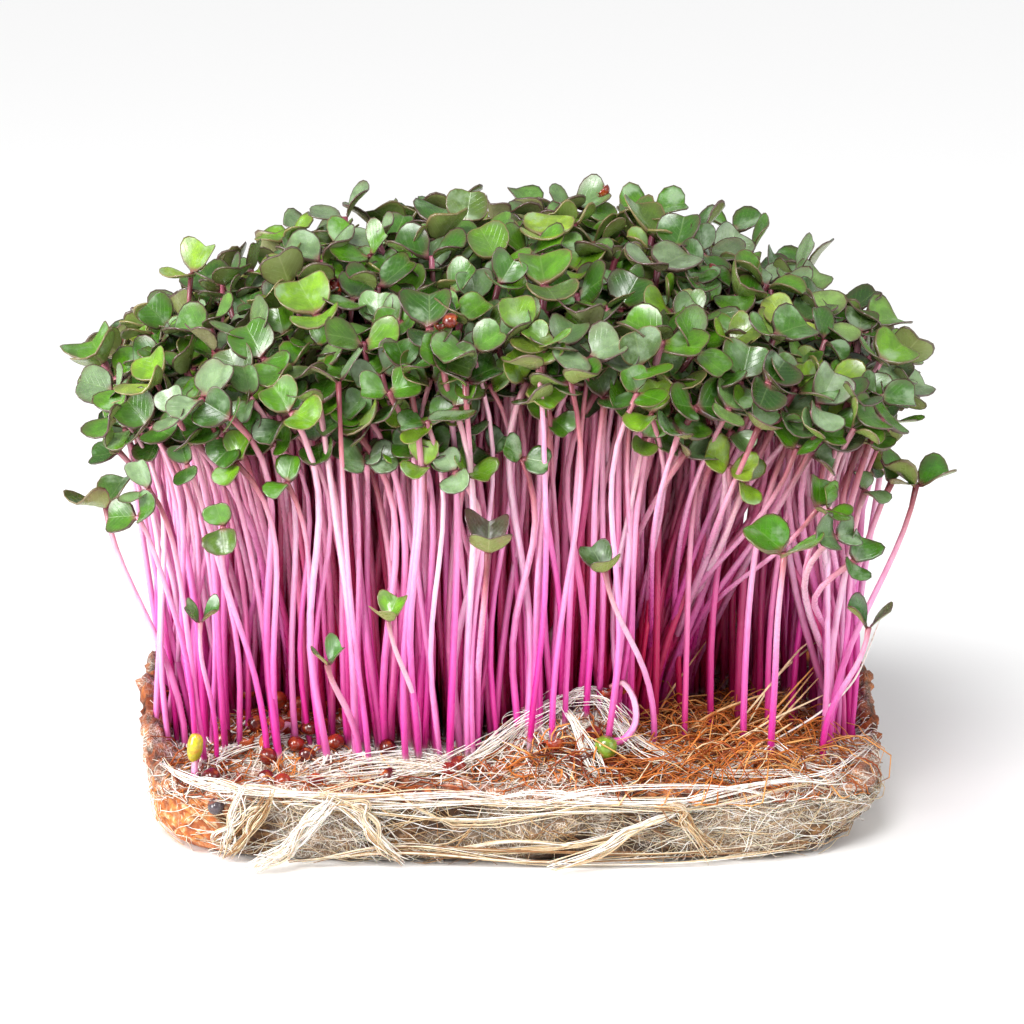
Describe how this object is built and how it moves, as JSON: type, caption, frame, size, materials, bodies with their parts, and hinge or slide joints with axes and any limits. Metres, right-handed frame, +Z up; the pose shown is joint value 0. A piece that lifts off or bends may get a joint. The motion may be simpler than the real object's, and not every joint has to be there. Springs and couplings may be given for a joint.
{
  "type": "red cabbage microgreens on a root mat",
  "caption": "Block of red cabbage microgreens: pink stems with small notched green leaves standing in a rectangular coir mat whose underside and edge are wrapped in white roots.",
  "frame": {"origin": "centre of the flat underside of the mat, on the surface that it rests on", "axes": "+Z up, along the stems; +X along the mat's longer side; the front, where the mat is low, faces -Y"},
  "size_m": [0.1336, 0.1009, 0.0903],
  "materials": {
    "coir": "damp orange-brown coconut fibre, rough and pitted",
    "root": "cream white matted roots, silky threads over a tan base",
    "seedling_leaf": "glossy green seed leaves with thin purple rims, pale under",
    "seedling_stem": "juicy, slightly shiny stems, magenta at the foot and pale pink higher up"
  },
  "bodies": {
    "root": {"coir_mat": "coir", "late_seedling_1": "seedling_stem", "late_seedling_10": "seedling_stem", "late_seedling_11": "seedling_stem", "late_seedling_2": "seedling_stem", "late_seedling_3": "seedling_stem", "late_seedling_4": "seedling_stem", "late_seedling_5": "seedling_stem", "late_seedling_6": "seedling_stem", "late_seedling_7": "seedling_stem", "late_seedling_8": "seedling_stem", "late_seedling_9": "seedling_stem", "root_skin": "root", "tuft_01": "seedling_leaf", "tuft_02": "seedling_leaf", "tuft_03": "seedling_leaf", "tuft_04": "seedling_leaf", "tuft_05": "seedling_leaf", "tuft_06": "seedling_leaf", "tuft_07": "seedling_leaf", "tuft_08": "seedling_leaf", "tuft_09": "seedling_leaf", "tuft_10": "seedling_leaf", "tuft_11": "seedling_leaf", "tuft_12": "seedling_leaf", "tuft_13": "seedling_leaf", "tuft_14": "seedling_leaf", "tuft_15": "seedling_leaf", "tuft_16": "seedling_leaf", "tuft_17": "seedling_leaf", "tuft_18": "seedling_leaf", "tuft_19": "seedling_leaf", "tuft_20": "seedling_leaf", "tuft_21": "seedling_leaf", "tuft_22": "seedling_leaf", "tuft_23": "seedling_leaf", "tuft_24": "seedling_leaf", "tuft_25": "seedling_leaf", "tuft_26": "seedling_leaf", "tuft_27": "seedling_leaf", "tuft_28": "seedling_leaf", "tuft_29": "seedling_leaf", "tuft_30": "seedling_leaf", "tuft_31": "seedling_leaf", "tuft_32": "seedling_leaf", "tuft_33": "seedling_leaf", "tuft_34": "seedling_leaf", "tuft_35": "seedling_leaf", "tuft_36": "seedling_leaf", "tuft_37": "seedling_leaf"}
  },
  "joints": []
}
